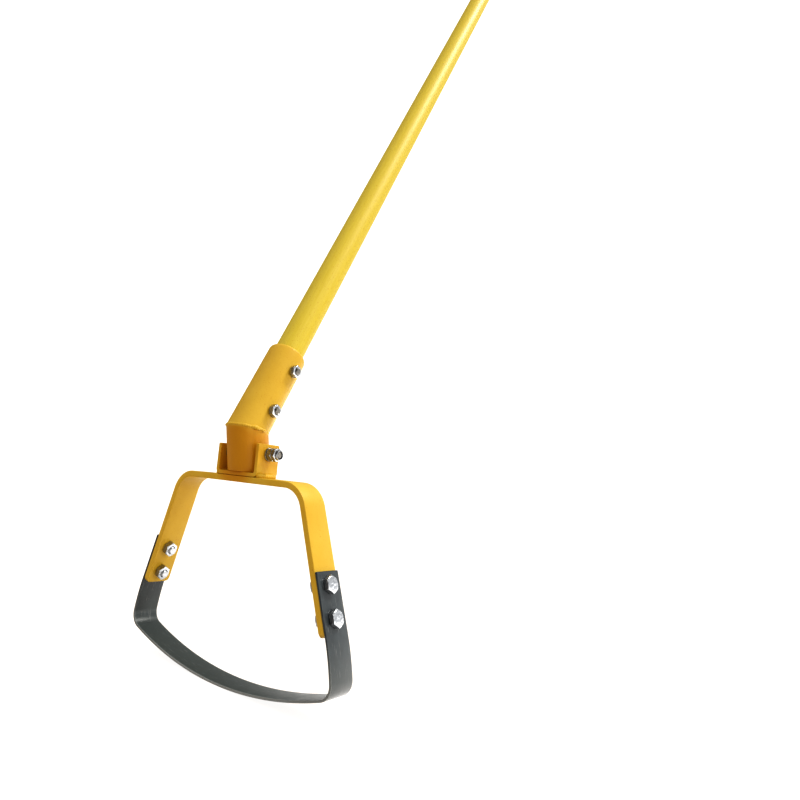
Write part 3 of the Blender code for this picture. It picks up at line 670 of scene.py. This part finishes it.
# %% [markdown]
# The corners of a head or nut are turned off by a 30 degree cone, which leaves the scalloped line on each
# flat. The thread is the same idea along the shank: the radius rises and falls with height minus turn, which
# makes a helix.

# %% Bolts and nuts
CONE = math.tan(math.radians(30))
FACE_SHARE = 0.92


def threaded(angle, height, size, depth=0.06):
    """Radius = thread / 2 - d * wave, where the wave is a rounded triangle of (height / pitch - turns)."""
    turns = height / size["pitch"] - angle / (2 * math.pi)
    wave = 0.5 - 0.5 * np.cos(2 * math.pi * turns)
    return size["thread"] / 2 * (1 - 2 * depth * wave ** 0.8)


def hex_bolt(size, length, thread_from):
    """Rows of (radius, height): top of the head, cone, flats, underside, shank, helix and a turned tip."""
    angle = hex_columns()
    flat = hex_radius(angle, size["flats"])
    face, head, shank = size["flats"] / 2 * FACE_SHARE, size["head"], size["thread"] / 2
    rows = [(0, head), (face * 0.97, head), (face, head - 0.05), (flat, head - (flat - face) * CONE - 0.05),
            (flat, 0.15), (flat - 0.15, 0), (shank, 0), (shank, -thread_from)]
    for height in -np.arange(thread_from + 0.1, length - 0.02, size["pitch"] / 10):
        limit = shank - max(0.0, 0.8 - (length + height)) * 0.9
        rows.append((np.minimum(threaded(angle, height, size), limit), height))
    return lathe(rows + [(shank - 0.75, -length), (0, -length)], angle)


def hex_nut(size, tall=None, collar=()):
    """Rows round a closed section: bore, lower cone, flats, upper cone, any round collar given as (radius,
    height) points, and the turned-in mouth of the bore."""
    angle = hex_columns()
    flat = hex_radius(angle, size["flats"])
    face, bore, tall = size["flats"] / 2 * FACE_SHARE, size["thread"] / 2 + 0.08, tall or size["nut"]
    cone, mouth = (flat - face) * CONE, bore + 0.5
    rows = [(bore, 0.5), (mouth, 0), (face, 0), (flat, cone), (flat, tall - cone), (face, tall)]
    return lathe(rows + list(collar or [(mouth, tall)]) + [(bore, tall - 0.5)], angle)


def facing(grid, place, direction, up):
    """Stands a part on a seat: point = place + x (up x direction) + y up + z direction."""
    axes = np.stack([np.cross(up, direction), up, direction])
    return np.asarray(place, float) + grid @ axes


print("a blade nut has", hex_nut(BLADE_HEX).shape[0], "rows")

# %% [markdown]
# ## Blade bolts
# Two bolts hold each end of the blade, with their heads outside, where nothing catches the soil, and their
# nuts inside the leg. They stand a little forward of the middle of the strip.

# %% Blade bolts and nuts
BLADE_HOLE = 3.45
BLADE_BOLTS = {"lower": 93.8, "upper": 71.8}
BOLTS_FORWARD = 1.0
THREAD_BEYOND_NUT = 1.6
fasteners = {}


def fit(node, name, grid, place, direction, up, loop=True):
    """Stands a part on its seat and notes the solid that it stands for. Only bolts aren't loops."""
    fasteners[node] = skin(name, facing(grid, place, direction, up), loop=loop)


grip = BLADE_THICKNESS + BOW_THICKNESS + 3 * GAP
head_face = BLADE_THICKNESS + 2 * GAP
blade_bolt = hex_bolt(BLADE_HEX, grip + BLADE_HEX["nut"] + THREAD_BEYOND_NUT, 5.0)
blade_nut = hex_nut(BLADE_HEX)
for side, hand in (("left", -1), ("right", 1)):
    out = np.array([hand * leg_out[0], 0, leg_out[1]])
    up = -np.array([hand * leg_down[0], 0, leg_down[1]])
    for which, along in BLADE_BOLTS.items():
        seat = np.array([hand * BOW_HALF_WIDTH, -BOLTS_FORWARD, BOW_TOP]) - up * along
        label = side + "_" + which
        fit("blade_bolt_" + label, "head_bolt_" + label, blade_bolt, seat + out * head_face, out, up, False)
        fit("blade_nut_" + label, "inner_nut_" + label, blade_nut, seat + out * (head_face - grip), -out, up)
        for holed in (bow, blade):
            drill(holed, BLADE_HOLE, seat, out, length=40)
print(len(fasteners), "blade fasteners")

# %% [markdown]
# ## The cross bolt
# One bolt carries the head, with a washer at each ear, and a nut and a lock nut on the right. A lock nut
# wears a round collar with a nylon ring in it that grips the thread. The bolt turns in a sleeve that is let
# into the neck.

# %% Cross bolt, its nuts, washers and sleeve
WASHER_THICKNESS = 1.2
SLEEVE_RADIUS, SLEEVE_HOLE = 6.5, 6.6
LOCK_COLLAR = [(4.3, 3.5), (4.15, 3.65), (4.15, 4.9), (4.05, 5.3), (3.85, 5.53), (3.62, 5.6), (3.45, 5.5),
               (3.4, 5.3), (3.4, 4.7)]
to_left, to_right = np.array([-1.0, 0, 0]), np.array([1.0, 0, 0])
neck_y = np.array([0, math.cos(SWING_LIMIT), math.sin(SWING_LIMIT)])
pivot = np.array([0, 0, PIVOT_Z])
nut_seat = EAR_OUTER + WASHER_THICKNESS + 2 * GAP
lock_seat = nut_seat + HANDLE_HEX["nut"] + GAP
cross_bolt = hex_bolt(HANDLE_HEX, nut_seat + lock_seat + 5.1, 46.0)
fit("pivot_bolt", "cross_bolt", cross_bolt, pivot + to_left * nut_seat, to_left, neck_y, False)
fit("pivot_nut", "cross_nut", hex_nut(HANDLE_HEX), pivot + to_right * nut_seat, to_right, neck_y)
fit("pivot_lock_nut", "cross_lock_nut", hex_nut(HANDLE_HEX, 3.5, LOCK_COLLAR), pivot + to_right * lock_seat,
    to_right, neck_y)


def ring_band(inner, outer, bottom, top, edge, steps=72):
    """Closed section of four rounded corners turned round Z: a washer when flat, a sleeve when tall."""
    turn = np.linspace(0, math.pi / 2, 4)
    radius, height = [], []
    for k, (r, z) in enumerate([(outer - edge, top - edge), (inner + edge, top - edge),
                                (inner + edge, bottom + edge), (outer - edge, bottom + edge)]):
        radius.extend(r + edge * np.cos(turn + k * math.pi / 2))
        height.extend(z + edge * np.sin(turn + k * math.pi / 2))
    return lathe(list(zip(radius, height)), np.linspace(0, 2 * math.pi, steps, endpoint=False))


washer = ring_band(BOLT_HOLE, 5.5, 0, WASHER_THICKNESS, 0.2)
sleeve = ring_band(BOLT_HOLE, SLEEVE_RADIUS, GAP - EAR_INNER, EAR_INNER - GAP, 0.4)
for side, direction in (("left", to_left), ("right", to_right)):
    ear_face = pivot + direction * (EAR_OUTER + GAP)
    fit("pivot_washer_" + side, "ear_washer_" + side, washer, ear_face, direction, neck_y)
fit("pivot_sleeve", "swing_sleeve", sleeve, pivot, to_right, neck_y)
ring = ring_band(2.9, 3.45, 4.5, 5.25, 0.2)
lock_ring = skin("lock_ring", facing(ring, pivot + to_right * lock_seat, to_right, neck_y), loop=True)
drill(neck, SLEEVE_HOLE, pivot)
print("the lock nut sits", round(lock_seat, 1), "mm from the middle")

# %% [markdown]
# ## Handle bolts
# Two bolts go through the socket and the handle, with their heads on the left and their nuts on the right.

# %% Handle bolts and nuts
BOLT_HEIGHTS = {"lower": 19.8, "upper": 63.4}
handle_tilt = SWING_LIMIT - KNEE_BEND
handle_y = np.array([0, math.cos(handle_tilt), math.sin(handle_tilt)])
tube_seat = TUBE_RADIUS + GAP
handle_bolt = hex_bolt(HANDLE_HEX, 2 * tube_seat + HANDLE_HEX["nut"] + 1.5, 24.0)
handle_nut = hex_nut(HANDLE_HEX)


def on_handle(height):
    """The point at a height on the handle's axis."""
    return in_handle([[0, 0, height]])[0]


for which, height in BOLT_HEIGHTS.items():
    centre = on_handle(height)
    fit("handle_bolt_" + which, "handle_bolt_" + which + "_hex", handle_bolt, centre + to_left * tube_seat,
        to_left, handle_y, False)
    fit("handle_nut_" + which, "handle_nut_" + which + "_hex", handle_nut, centre + to_right * tube_seat,
        to_right, handle_y)
    drill(socket, BOLT_HOLE, centre)
print(len(fasteners), "fasteners in all")

# %% [markdown]
# ## Handle and cap
# The handle is a drawn tube of glass fibre and resin, 27.6 mm thick. Its far end wears a moulded cap, with
# a rounded shoulder and a shallow groove above the skirt's lip.

# %% Handle tube
HANDLE_RADIUS = 13.8
HANDLE_BOTTOM = 8.0
HANDLE_TOP = 1208.0
handle_profile = [(HANDLE_RADIUS, 0, 0.5), (HANDLE_RADIUS, 1, -0.5), (HANDLE_RADIUS - 0.5, 1, 0),
                  (HANDLE_RADIUS - 2.5, 1, 0), (HANDLE_RADIUS - 3, 1, -0.5), (HANDLE_RADIUS - 3, 0, 0.5),
                  (HANDLE_RADIUS - 2.5, 0, 0), (HANDLE_RADIUS - 0.5, 0, 0)]
handle_grid = slanted_tube(handle_profile, level_at(HANDLE_BOTTOM), level_at(HANDLE_TOP))
handle = skin("handle_pole", in_handle(handle_grid), loop=True)
for height in BOLT_HEIGHTS.values():
    drill(handle, BOLT_HOLE, on_handle(height))
print("handle is", HANDLE_TOP - HANDLE_BOTTOM, "mm long")

# %% End cap
CAP_WALL = 2.0
CAP_FACE = 3.0
CAP_SKIRT = 28.0
SHOULDER = 2.5
inner, outer, under = HANDLE_RADIUS + GAP, HANDLE_RADIUS + GAP + CAP_WALL, HANDLE_TOP + GAP
top, skirt = under + CAP_FACE, HANDLE_TOP - CAP_SKIRT
shoulder = [(outer - SHOULDER + SHOULDER * math.cos(a), 1, SHOULDER * math.sin(a) - SHOULDER)
            for a in np.linspace(math.pi / 2, 0, 8)]
groove = [(outer, 0, 7), (outer - 0.5, 0, 6.4), (outer - 0.5, 0, 4.6), (outer, 0, 4.0)]
lip = [(outer, 0, 0.6), (outer - 0.2, 0, 0.15), (outer - 0.7, 0, 0), (inner + 0.3, 0, 0), (inner, 0, 0.4)]
cap_profile = [(0, 1, 0)] + shoulder + groove + lip + [(inner, 0, under - skirt), (0, 0, under - skirt)]
cap = skin("handle_cap", in_handle(slanted_tube(cap_profile, level_at(skirt), level_at(top))))
print("handle top at", np.round(on_handle(top), 1))

# %% [markdown]
# ## Finishes
# Each finish starts from what the real surface is. A pattern's size is given in millimetres, and noise of
# that size has a scale of 1000 divided by it, because object coordinates are metres.

# %% Both ends of a finish


def finish(name):
    """A new material, its node tree and its coordinates, from which the patterns start."""
    made = bpy.data.materials.new(name)
    made.use_nodes = True
    return made, made.node_tree, add(made.node_tree, "TexCoord").outputs["Object"]


def close(made, values):
    """The other end of a finish: gives the shader its values and links."""
    wire(made.node_tree, made.node_tree.nodes["Principled BSDF"], values)
    print(made.name, "has", len(made.node_tree.nodes), "nodes")


# %% [markdown]
# ### Golden enamel
# The steel of the head is sprayed with a thick golden enamel and baked. The eye reads it by its deep warm
# colour, which is a little uneven, by a soft gloss and by the orange peel of the dried film, whose bumps
# are about 1.5 mm apart. Around the cross bolt and below the plane of the mitre's weld bead, a deeper orange
# is painted in as shade, standing in for the shade on the neck and the ears: we measure how far below the
# bead's plane a point lies.

# %% Golden enamel
# Painted shade: near the cross bolt the enamel turns a deeper orange, in place of the shade on the neck and
# ears.
SHADE_FROM, SHADE_TO = 0.046, 0.034
enamel, tree, where = finish("golden_enamel")
clouds = add(tree, "TexNoise", {"Scale": 1000 / 22, "Detail": 3.0, "Vector": where})
patch = add(tree, "MapRange", {"From Min": 0.35, "From Max": 0.65, "Value": clouds})
tone = add(tree, "Mix", {"data_type": "RGBA", 0: patch, 6: paint("#DBB43C"), 7: paint("#DFBA44")})
squeezed = add(tree, "Mapping", {"Scale": (1.45, 1.0, 1.0), "Vector": where})
from_pivot = add(tree, "VectorMath", {"operation": "DISTANCE", 0: squeezed, 1: (0, 0, PIVOT_Z * MM)})
ragged = add(tree, "Math", {"operation": "MULTIPLY_ADD", 0: clouds, 1: 0.012, 2: from_pivot.outputs["Value"]})
painted_shade = add(tree, "MapRange", {"From Min": SHADE_FROM, "From Max": SHADE_TO, "Value": ragged})
seam_lean = SWING_LIMIT - HALF_BEND
seam_normal = (0, -math.sin(seam_lean), math.cos(seam_lean))
seam_height = (knee @ seam_normal) * MM
to_seam = add(tree, "VectorMath", {"operation": "DOT_PRODUCT", 0: where, 1: seam_normal})
below_bead = add(tree, "MapRange", {"From Min": seam_height - 0.0012, "From Max": seam_height - 0.002,
                                    "Value": to_seam.outputs["Value"]})
painted_shade_below_bead = add(tree, "Math", {"operation": "MULTIPLY", 0: painted_shade, 1: below_bead})
# The painted shade's deeper orange, #D0961C, is mixed in only below the bead's plane.
tone = add(tree, "Mix", {"data_type": "RGBA", 0: painted_shade_below_bead, 6: tone.outputs[2], 7: paint("#D0961C")})
grit = add(tree, "TexNoise", {"Scale": 1000 / 0.9, "Detail": 2.0, "Vector": where})
speck = add(tree, "MapRange", {"From Min": 0.66, "From Max": 0.74, "Value": grit})
colour = add(tree, "Mix", {"data_type": "RGBA", 0: speck, 6: tone.outputs[2], 7: paint("#C98A18")})
peel = add(tree, "TexNoise", {"Scale": 1000 / 1.5, "Detail": 2.0, "Vector": where})
bump = add(tree, "Bump", {"Strength": 0.35, "Distance": 0.00012, "Height": peel})
close(enamel, {"Base Color": colour.outputs[2], "Normal": bump, "Roughness": 0.42, "IOR": 1.45,
               "Specular IOR Level": 0.45})

# %% [markdown]
# ### Yellow glass-fibre tube
# The resin is dyed yellow and drawn with the fibres through a die. Its skin is smooth, with a broad soft
# shine and faint fine lines along the handle. We turn the coordinates with a Mapping node until one axis runs
# along the handle, and stretch the noise along it.

# %% Glass-fibre yellow
fibre, tree, where = finish("yellow_glass_fibre")
laid = add(tree, "Mapping", {"Rotation": (-handle_tilt, 0, 0), "Vector": where})
drawn = add(tree, "Mapping", {"Scale": (1.0, 1.0, 0.03), "Vector": laid})
lines = add(tree, "TexNoise", {"Scale": 1000 / 1.2, "Detail": 3.0, "Vector": drawn})
pale_line = add(tree, "MapRange", {"From Min": 0.3, "From Max": 0.7, "Value": lines})
tone = add(tree, "Mix", {"data_type": "RGBA", 0: pale_line, 6: paint("#DAC43C"), 7: paint("#DFCA4C")})
flecks = add(tree, "TexNoise", {"Scale": 1000 / 1.1, "Detail": 2.0, "Vector": laid})
fleck = add(tree, "MapRange", {"From Min": 0.62, "From Max": 0.72, "Value": flecks})
colour = add(tree, "Mix", {"data_type": "RGBA", 0: fleck, 6: tone.outputs[2], 7: paint("#CFA92C")})
bump = add(tree, "Bump", {"Strength": 0.2, "Distance": 0.00006, "Height": lines})
close(fibre, {"Base Color": colour.outputs[2], "Normal": bump, "Roughness": 0.5, "IOR": 1.55,
              "Specular IOR Level": 0.4})

# %% [markdown]
# ### Zinc plate
# Nuts, washers and blade bolts are steel plated with zinc. It is a true metal surface, light grey with a cold
# tinge, with small cloudy changes of gloss where fingers and spanners have been.

# %% Zinc plate
zinc, tree, where = finish("zinc_plate")
clouds = add(tree, "TexNoise", {"Scale": 1000 / 3.0, "Detail": 4.0, "Vector": where})
tone = add(tree, "Mix", {"data_type": "RGBA", 0: clouds, 6: paint("#888B8F"), 7: paint("#BABCBE")})
gloss = add(tree, "MapRange", {"To Min": 0.22, "To Max": 0.42, "Value": clouds})
fine = add(tree, "TexNoise", {"Scale": 1000 / 2.0, "Detail": 2.0, "Vector": where})
bump = add(tree, "Bump", {"Strength": 1.0, "Distance": 0.0006, "Height": fine})
close(zinc, {"Base Color": tone.outputs[2], "Normal": bump, "Roughness": gloss, "Metallic": 1.0})

# %% [markdown]
# ### Cut bolt steel
# The cross bolt and the handle bolts have lost their plating, so they are bare steel that has gone dull and
# brown grey, and they show marks about 1 mm apart from the saw that cut them to length.

# %% Cut bolt steel
cut_steel, tree, where = finish("dull_cut_steel")
marks = add(tree, "TexNoise", {"Scale": 1000 / 1.0, "Detail": 3.0, "Vector": where})
tone = add(tree, "Mix", {"data_type": "RGBA", 0: marks, 6: paint("#4E4B45"), 7: paint("#8B8882")})
gloss = add(tree, "MapRange", {"To Min": 0.3, "To Max": 0.5, "Value": marks})
bump = add(tree, "Bump", {"Strength": 0.8, "Distance": 0.0002, "Height": marks})
close(cut_steel, {"Base Color": tone.outputs[2], "Normal": bump, "Roughness": gloss, "Metallic": 1.0})

# %% [markdown]
# ### Hardened spring steel
# The blade was heated, quenched in oil and left with its dark scale, an oxide skin that covers the metal, so
# its metallic value is 0. It is grey, slightly blue and cloudy, with fine scratches along the strip. It turns
# paler lower down, towards the arc, and paler still along the strip's edges there. The scratches read the
# strip's own lay, so they follow its bends.

# %% Spring steel
PALE_BAND_FROM, PALE_BAND_TO = -0.095, -0.145
EDGE_FROM, EDGE_TO = 0.0112, 0.0124
steel, tree, where = finish("hardened_spring_steel")
lay = add(tree, "Attribute", {"attribute_name": "lay"}).outputs["Vector"]
clouds = add(tree, "TexNoise", {"Scale": 1000 / 9.0, "Detail": 5.0, "Roughness": 0.6, "Vector": where})
patch = add(tree, "MapRange", {"From Min": 0.3, "From Max": 0.7, "Value": clouds})
tone = add(tree, "Mix", {"data_type": "RGBA", 0: patch, 6: paint("#34393C"), 7: paint("#424A4D")})
height = add(tree, "SeparateXYZ", {"Vector": where}).outputs["Z"]
# Paler lower down, towards the arc: this colour follows height alone.
pale_band = add(tree, "MapRange", {"From Min": PALE_BAND_FROM, "From Max": PALE_BAND_TO, "Value": height})
banded = add(tree, "Mix", {"data_type": "RGBA", 0: pale_band, 6: tone.outputs[2], 7: paint("#474D4B")})
across = add(tree, "SeparateXYZ", {"Vector": lay}).outputs["Y"]
to_edge = add(tree, "Math", {"operation": "ABSOLUTE", 0: across})
edge = add(tree, "MapRange", {"From Min": EDGE_FROM, "From Max": EDGE_TO, "Value": to_edge})
honed = add(tree, "Math", {"operation": "MULTIPLY", 0: edge, 1: pale_band})
banded = add(tree, "Mix", {"data_type": "RGBA", 0: honed, 6: banded.outputs[2], 7: paint("#8B8F8E")})
pulled = add(tree, "Mapping", {"Scale": (0.06, 1.0, 1.0), "Vector": lay})
scratches = add(tree, "TexNoise", {"Scale": 1000 / 0.8, "Detail": 3.0, "Vector": pulled})
bright = add(tree, "MapRange", {"From Min": 0.63, "From Max": 0.7, "Value": scratches})
colour = add(tree, "Mix", {"data_type": "RGBA", 0: bright, 6: banded.outputs[2], 7: paint("#6E7273")})
bump = add(tree, "Bump", {"Strength": 0.3, "Distance": 0.00006, "Height": scratches})
gloss = add(tree, "MapRange", {"To Min": 0.3, "To Max": 0.46, "Value": clouds})
close(steel, {"Base Color": colour.outputs[2], "Normal": bump, "Roughness": gloss, "Metallic": 0.0,
              "Specular IOR Level": 0.4})

# %% [markdown]
# ### Black moulded cap
# A soft plastic cap straight from the mould: nearly black, matt, with the faint pebble of a sand-blasted die.

# %% Black moulded plastic
moulded, tree, where = finish("black_moulded_plastic")
pebble = add(tree, "TexNoise", {"Scale": 1000 / 0.8, "Detail": 2.0, "Vector": where})
tone = add(tree, "Mix", {"data_type": "RGBA", 0: pebble, 6: paint("#17181A"), 7: paint("#26272A")})
bump = add(tree, "Bump", {"Strength": 0.3, "Distance": 0.00008, "Height": pebble})
close(moulded, {"Base Color": tone.outputs[2], "Normal": bump, "Roughness": 0.55, "IOR": 1.5})

# %% [markdown]
# ### Nylon of the lock nut
# The ring in the lock nut's collar is cast nylon, dyed a dark smoky blue. It is slightly waxy and was cut to
# fine rings by the thread.

# %% Dark nylon
nylon, tree, where = finish("dark_nylon")
cuts = add(tree, "TexNoise", {"Scale": 1000 / 0.5, "Detail": 2.0, "Vector": where})
tone = add(tree, "Mix", {"data_type": "RGBA", 0: cuts, 6: paint("#1B1F26"), 7: paint("#343A44")})
bump = add(tree, "Bump", {"Strength": 0.3, "Distance": 0.00004, "Height": cuts})
close(nylon, {"Base Color": tone.outputs[2], "Normal": bump, "Roughness": 0.4, "IOR": 1.53})

# %% [markdown]
# ## Putting it together
# Every piece stands for one solid of the imported model, rides on that solid's body and takes its finish. The
# nylon ring is the only one without a solid. Last, we compare each piece's box with its solid's, and print
# the pieces that differ by more than half a millimetre.

# %% Rides, replaced solids and finishes
NOTABLE = 0.0005
SWINGING = ("bow", "blade", "clevis")
DULL_BOLTS = ("pivot_bolt", "handle_bolt_lower", "handle_bolt_upper")
painted = {"bow": bow, "clevis": clevis, "clevis_weld_left": bead_left, "clevis_weld_right": bead_right,
           "neck_tube": neck, "socket_tube": socket, "mitre_weld": mitre}
dressed = [(made, node, enamel, "orange_paint") for node, made in painted.items()]
dressed += [(blade, "blade", steel, "spring_steel"), (handle, "handle_tube", fibre, "handle_yellow"),
            (cap, "handle_end_cap", moulded, "cap_black")]
dressed += [(made, node, cut_steel if node in DULL_BOLTS else zinc, "zinc")
            for node, made in fasteners.items()]
lock_ring.data.materials.append(nylon)
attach(lock_ring, "handle_assembly")
for made, node, look, slot in dressed:
    body = "stirrup" if node.startswith(SWINGING) else "handle_assembly"
    made.data.materials.clear()
    made.data.materials.append(look)
    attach(made, body)
    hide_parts(node)
    own_box = (Vector(made.bound_box[0]), Vector(made.bound_box[6]))
    apart = max(abs(a - b) for pair in zip(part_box(node), own_box) for a, b in zip(*pair))
    if apart > NOTABLE:
        print(made.name, "differs from", node, "by", round(apart / MM, 2), "mm")
print(len(dressed), "pieces,", sum(len(made.data.polygons) for made, *_ in dressed), "faces")
